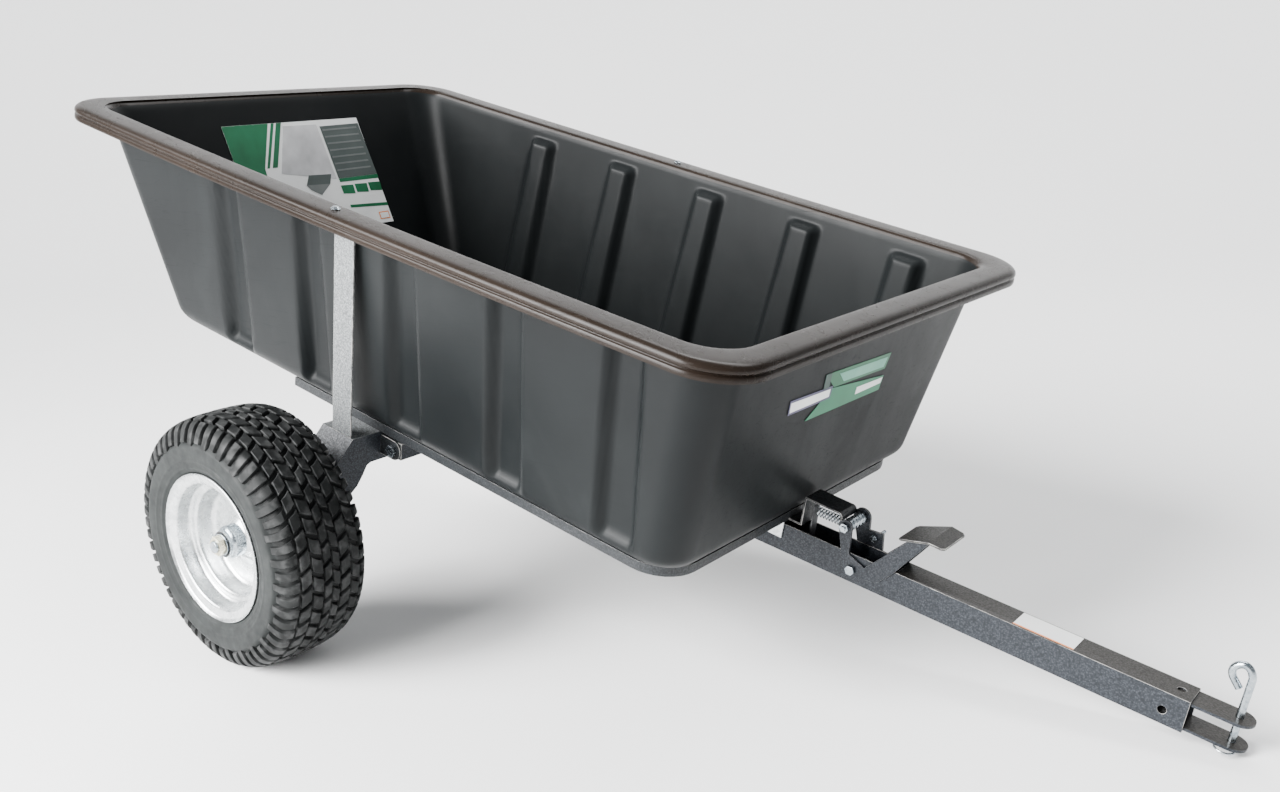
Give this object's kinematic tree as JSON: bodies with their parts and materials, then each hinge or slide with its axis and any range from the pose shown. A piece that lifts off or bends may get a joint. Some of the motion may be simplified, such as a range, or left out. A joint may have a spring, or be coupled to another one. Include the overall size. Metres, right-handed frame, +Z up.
{
  "type": "tow behind cart",
  "caption": "Tow-behind dump cart: a ribbed plastic tub on a steel axle with pneumatic turf wheels, a drawbar with a foot-operated dump latch, and a clevis hitch with pin.",
  "frame": {"origin": "on the ground under the centre of the bounding box, with the cart parked on its hitch pin", "axes": "+X forwards along the ground from the tub towards the hitch, +Y to the cart's left, +Z up"},
  "size_m": [1.9672, 1.261, 0.8748],
  "materials": {
    "poly": "satin black moulded polyethylene, slightly glossy",
    "hammertone": "dark grey hammertone powder coat",
    "dark_steel": "dark coated spring strip",
    "zinc": "bright zinc plate",
    "galvanised": "galvanised pressed steel",
    "tyre": "black tyre rubber with turf tread",
    "rubber": "black rubber",
    "spring_steel": "bright spring wire"
  },
  "bodies": {
    "tongue": {"drawbar": "hammertone", "hinge_bolt_left": "zinc", "hinge_bolt_right": "zinc", "hitch_clevis": "hammertone", "latch_spring": "spring_steel", "lever_bolt": "zinc", "spring_anchor": "dark_steel", "tongue_crossbar": "hammertone", "tongue_gusset_left": "hammertone", "tongue_gusset_right": "hammertone"},
    "bed": {"axle_beam": "hammertone", "axle_nut_left": "zinc", "axle_nut_right": "zinc", "axle_washer_left": "zinc", "axle_washer_right": "zinc", "bed_rail": "hammertone", "catch_bracket": "hammertone", "floor_bolt_1": "zinc", "floor_bolt_2": "zinc", "floor_bolt_3": "zinc", "floor_bolt_4": "zinc", "guide_bolt": "zinc", "guide_bracket": "galvanised", "hinge_ear_left": "hammertone", "hinge_ear_right": "hammertone", "spindle_left": "zinc", "spindle_right": "zinc", "strap_bolt_left": "zinc", "strap_bolt_right": "zinc", "strap_left": "hammertone", "strap_right": "hammertone", "tub": "poly", "wheel_spacer_left": "zinc", "wheel_spacer_right": "zinc"},
    "wheel_left": {"tyre_left": "tyre", "rim_left": "galvanised", "hub_left": "zinc", "valve_left": "rubber"},
    "wheel_right": {"tyre_right": "tyre", "rim_right": "galvanised", "hub_right": "zinc", "valve_right": "rubber"},
    "latch": {"latch_plate_left": "hammertone", "latch_plate_right": "hammertone", "pedal_pad": "hammertone", "latch_roller": "zinc", "roller_bolt": "zinc", "stop_bolt": "zinc"},
    "hitch_pin": {"hitch_pin": "zinc"},
    "hitch_clip": {"hitch_clip": "spring_steel"}
  },
  "joints": [
    {"name": "dump", "type": "hinge", "parent": "tongue", "child": "bed", "pos_m": [-0.26613, 0, 0.29761], "axis": [0, -1, 0], "range_deg": [0, 56]},
    {"name": "wheel_left_spin", "type": "hinge", "parent": "bed", "child": "wheel_left", "pos_m": [-0.3595, 0.552, 0.203], "axis": [0, 1, 0], "continuous": true},
    {"name": "wheel_right_spin", "type": "hinge", "parent": "bed", "child": "wheel_right", "pos_m": [-0.3595, -0.552, 0.203], "axis": [0, 1, 0], "continuous": true},
    {"name": "latch_pedal", "type": "hinge", "parent": "tongue", "child": "latch", "pos_m": [0.41285, 0, 0.13784], "axis": [0, 1, 0], "range_deg": [0, 20], "stiffness_Nm_per_rad": 2, "springref_deg": -22.92},
    {"name": "hitch_pin_slide", "type": "slide", "parent": "tongue", "child": "hitch_pin", "axis": [0.1912, 0, 0.9816], "range_m": [-0.03, 0]},
    {"name": "hitch_clip_slide", "type": "slide", "parent": "hitch_pin", "child": "hitch_clip", "axis": [-0.9224, -0.342, 0.1797], "range_m": [0, 0.024]}
  ]
}
